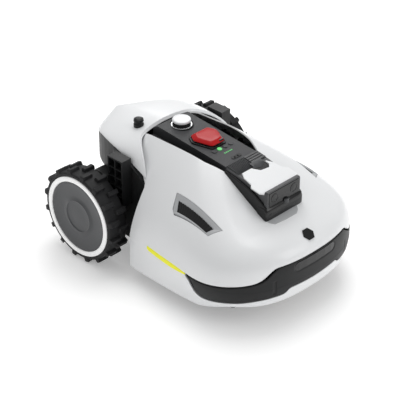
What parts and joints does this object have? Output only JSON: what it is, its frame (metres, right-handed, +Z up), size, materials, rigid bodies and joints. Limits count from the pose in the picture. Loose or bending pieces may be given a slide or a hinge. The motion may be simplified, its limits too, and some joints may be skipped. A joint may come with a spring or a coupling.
{
  "type": "robotic lawn mower",
  "caption": "Robotic lawn mower with lugged drive wheels, swivel casters, domed cover, spring bumper, vision module, stop button and a height-adjustable blade disc.",
  "frame": {"origin": "on the ground, under the middle of the machine's overall box", "axes": "+Z up, -Y towards the nose, +X towards the machine's left-hand side"},
  "size_m": [0.4, 0.5368, 0.2724],
  "materials": {
    "white_cover": "smooth satin-gloss moulding",
    "black_body": "fine-grained moulding",
    "dark_console": "satin, fine grain",
    "gloss_black": "high gloss",
    "tyre_rubber": "moulded rubber",
    "ring_white": "satin",
    "cap_grey": "satin grey",
    "silver_trim": "bright ring",
    "steel": "machined",
    "blade_steel": "ground edge",
    "disc_black": "powder coat",
    "motor_metal": "cast and painted",
    "brass": "bright",
    "battery_case": "shrink sleeve",
    "circuit_green": "solder mask",
    "green_light": "lit diffuser",
    "stop_red": "gloss",
    "stripe_yellow": "satin film"
  },
  "bodies": {
    "chassis": {"chassis_tub": "black_body", "blade_housing": "black_body", "rear_housing": "black_body", "front_cover": "white_cover", "rear_saddle": "white_cover", "console": "dark_console", "camera_housing": "black_body", "heat_sink": "black_body", "camera_top": "white_cover", "camera_window": "gloss_black", "camera_lenses": "gloss_black", "camera_chin": "black_body", "vent_inserts": "black_body", "side_stripes": "stripe_yellow", "badge": "gloss_black", "knob_bezel": "silver_trim", "stop_base": "black_body", "status_lights": "green_light", "rain_sensor": "black_body", "antenna_stub": "black_body", "battery_pack": "battery_case", "main_board": "circuit_green", "left_gearmotor": "motor_metal", "right_gearmotor": "motor_metal", "left_bracket": "black_body", "right_bracket": "black_body", "caster_bushes": "brass", "charge_contacts": "brass", "chassis_screws": "steel"},
    "bumper": {"bumper_band": "black_body", "bumper_recess": "gloss_black"},
    "left_wheel": {"left_tyre": "tyre_rubber", "left_rim": "black_body", "left_ring": "ring_white", "left_cap": "cap_grey"},
    "left_caster": {"left_fork": "black_body", "left_caster_axle": "steel"},
    "left_roller": {"left_caster_wheel": "tyre_rubber"},
    "right_wheel": {"right_tyre": "tyre_rubber", "right_rim": "black_body", "right_ring": "ring_white", "right_cap": "cap_grey"},
    "right_caster": {"right_fork": "black_body", "right_caster_axle": "steel"},
    "right_roller": {"right_caster_wheel": "tyre_rubber"},
    "cutter_deck": {"deck_carrier": "black_body", "cutter_motor": "motor_metal"},
    "cutter": {"cutter_disc": "disc_black", "blade_screws": "steel"},
    "blade_a": {"blade_1": "blade_steel"},
    "blade_b": {"blade_2": "blade_steel"},
    "blade_c": {"blade_3": "blade_steel"},
    "skid": {"skid_plate": "disc_black"},
    "knob": {"height_knob": "black_body", "knob_cap": "ring_white"},
    "stop": {"stop_button": "stop_red"},
    "power_key": {"power_button": "dark_console"},
    "home_key": {"home_button": "green_light"},
    "start_key": {"start_button": "dark_console"},
    "lock_key": {"lock_button": "dark_console"}
  },
  "joints": [
    {"name": "left_wheel_spin", "type": "hinge", "parent": "chassis", "child": "left_wheel", "pos_m": [0.175, 0.168, 0.0988], "axis": [1, 0, 0], "continuous": true},
    {"name": "left_caster_swivel", "type": "hinge", "parent": "chassis", "child": "left_caster", "pos_m": [0.1, -0.165, 0.075], "axis": [0, 0, 1], "continuous": true},
    {"name": "left_caster_roll", "type": "hinge", "parent": "left_caster", "child": "left_roller", "pos_m": [0.1, -0.151, 0.026], "axis": [1, 0, 0], "continuous": true},
    {"name": "right_wheel_spin", "type": "hinge", "parent": "chassis", "child": "right_wheel", "pos_m": [-0.175, 0.168, 0.0988], "axis": [1, 0, 0], "continuous": true},
    {"name": "right_caster_swivel", "type": "hinge", "parent": "chassis", "child": "right_caster", "pos_m": [-0.1, -0.165, 0.075], "axis": [0, 0, 1], "continuous": true},
    {"name": "right_caster_roll", "type": "hinge", "parent": "right_caster", "child": "right_roller", "pos_m": [-0.1, -0.151, 0.026], "axis": [1, 0, 0], "continuous": true},
    {"name": "bumper_press", "type": "slide", "parent": "chassis", "child": "bumper", "axis": [0, 1, 0], "range_m": [0, 0.004], "stiffness_N_per_m": 2000, "springref_m": -0.001},
    {"name": "deck_height", "type": "slide", "parent": "chassis", "child": "cutter_deck", "axis": [0, 0, 1], "range_m": [-0.045, 0]},
    {"name": "height_turn", "type": "hinge", "parent": "chassis", "child": "knob", "pos_m": [0, 0.08, 0.26], "axis": [0, 0, 1], "range_deg": [0, 271]},
    {"name": "cutter_spin", "type": "hinge", "parent": "cutter_deck", "child": "cutter", "pos_m": [0, -0.048, 0.068], "axis": [0, 0, 1], "continuous": true},
    {"name": "skid_spin", "type": "hinge", "parent": "cutter", "child": "skid", "pos_m": [0, -0.048, 0.058], "axis": [0, 0, 1], "continuous": true},
    {"name": "stop_press", "type": "slide", "parent": "chassis", "child": "stop", "axis": [0, 0.0854, -0.9963], "range_m": [0, 0.004], "stiffness_N_per_m": 800, "springref_m": -0.001},
    {"name": "blade_a_swing", "type": "hinge", "parent": "cutter", "child": "blade_a", "pos_m": [0, 0.022, 0.065], "axis": [0, 0, 1], "continuous": true},
    {"name": "blade_b_swing", "type": "hinge", "parent": "cutter", "child": "blade_b", "pos_m": [-0.06062, -0.083, 0.065], "axis": [0, 0, 1], "continuous": true},
    {"name": "blade_c_swing", "type": "hinge", "parent": "cutter", "child": "blade_c", "pos_m": [0.06062, -0.083, 0.065], "axis": [0, 0, 1], "continuous": true},
    {"name": "power_press", "type": "slide", "parent": "chassis", "child": "power_key", "axis": [0, 0.0854, -0.9963], "range_m": [0, 0.001], "stiffness_N_per_m": 600, "springref_m": -0.0005},
    {"name": "home_press", "type": "slide", "parent": "chassis", "child": "home_key", "axis": [0, 0.0854, -0.9963], "range_m": [0, 0.001], "stiffness_N_per_m": 600, "springref_m": -0.0005},
    {"name": "start_press", "type": "slide", "parent": "chassis", "child": "start_key", "axis": [0, 0.0854, -0.9963], "range_m": [0, 0.001], "stiffness_N_per_m": 600, "springref_m": -0.0005},
    {"name": "lock_press", "type": "slide", "parent": "chassis", "child": "lock_key", "axis": [0, 0.0854, -0.9963], "range_m": [0, 0.001], "stiffness_N_per_m": 600, "springref_m": -0.0005}
  ],
  "couplings": [
    {"joint": "height_turn", "follows": "deck_height", "rad_per_m": -104.7}
  ]
}
